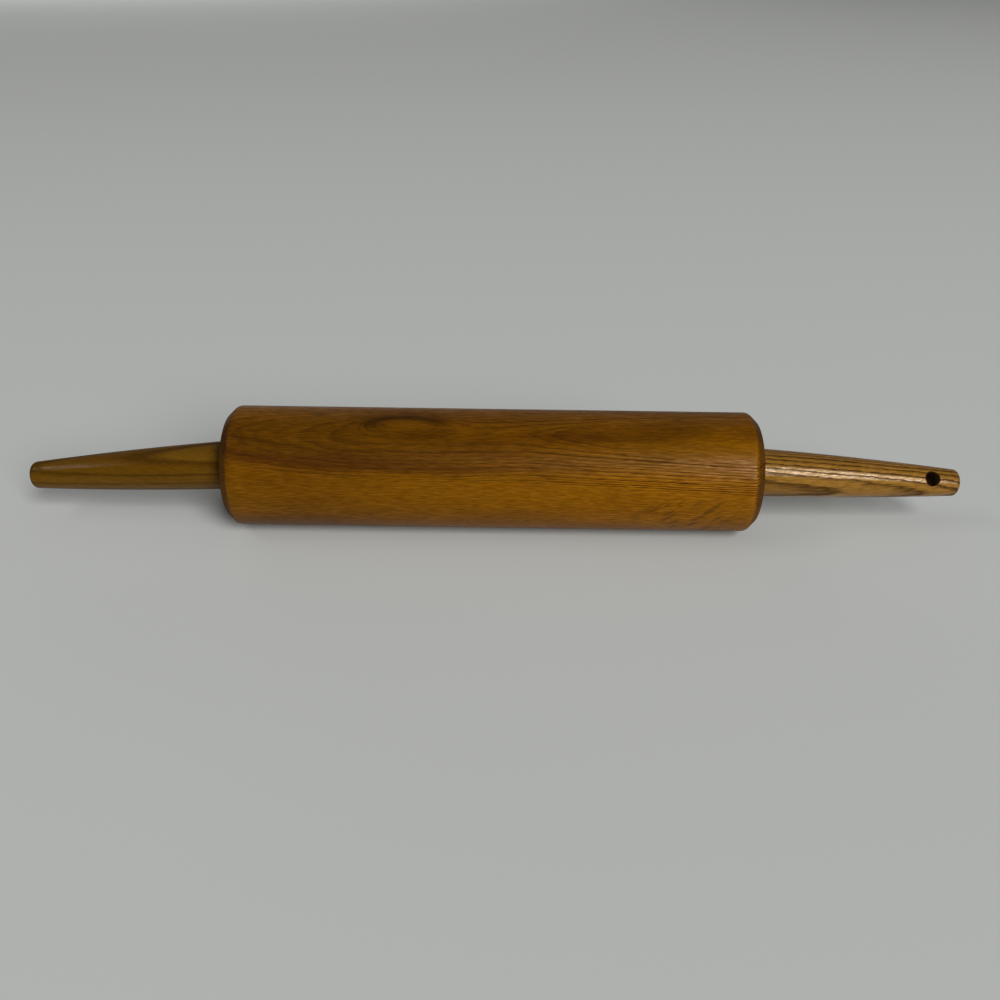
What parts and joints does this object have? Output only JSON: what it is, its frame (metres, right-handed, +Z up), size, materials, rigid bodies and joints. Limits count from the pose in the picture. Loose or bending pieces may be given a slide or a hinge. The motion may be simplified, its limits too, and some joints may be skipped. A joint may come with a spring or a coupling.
{
  "type": "rolling pin with handles",
  "caption": "Turned wooden rolling pin: a chamfered cylindrical barrel that spins on a steel axle between slim tapered handles, with a hang hole near one tip.",
  "frame": {"origin": "middle of the flat on the underside of the barrel, on which the pin rests", "axes": "+X along the pin towards the handle with the hang hole, +Z up, -Y towards the side that the hang hole faces"},
  "size_m": [0.4536, 0.0578, 0.0579],
  "materials": {
    "barrel_wood": "varnished amber oak, satin",
    "left_handle_wood": "varnished brown oak, satin",
    "right_handle_wood": "varnished golden oak, semi-gloss",
    "axle_steel": "drawn mild steel rod",
    "fastener_steel": "zinc-plated steel",
    "bushing_nylon": "natural nylon",
    "insert_brass": "turned brass"
  },
  "bodies": {
    "handle_set": {"axle_rod": "axle_steel", "left_handle": "left_handle_wood", "right_handle": "right_handle_wood", "left_handle_insert": "insert_brass", "right_handle_insert": "insert_brass", "left_stop_nut": "fastener_steel", "right_stop_nut": "fastener_steel", "left_thrust_washer": "fastener_steel", "right_thrust_washer": "fastener_steel"},
    "barrel": {"barrel": "barrel_wood", "left_bushing": "bushing_nylon", "right_bushing": "bushing_nylon"}
  },
  "joints": [
    {"name": "barrel_spin", "type": "hinge", "parent": "handle_set", "child": "barrel", "pos_m": [0, 0, 0.02894], "axis": [1, 0, 0], "continuous": true}
  ]
}
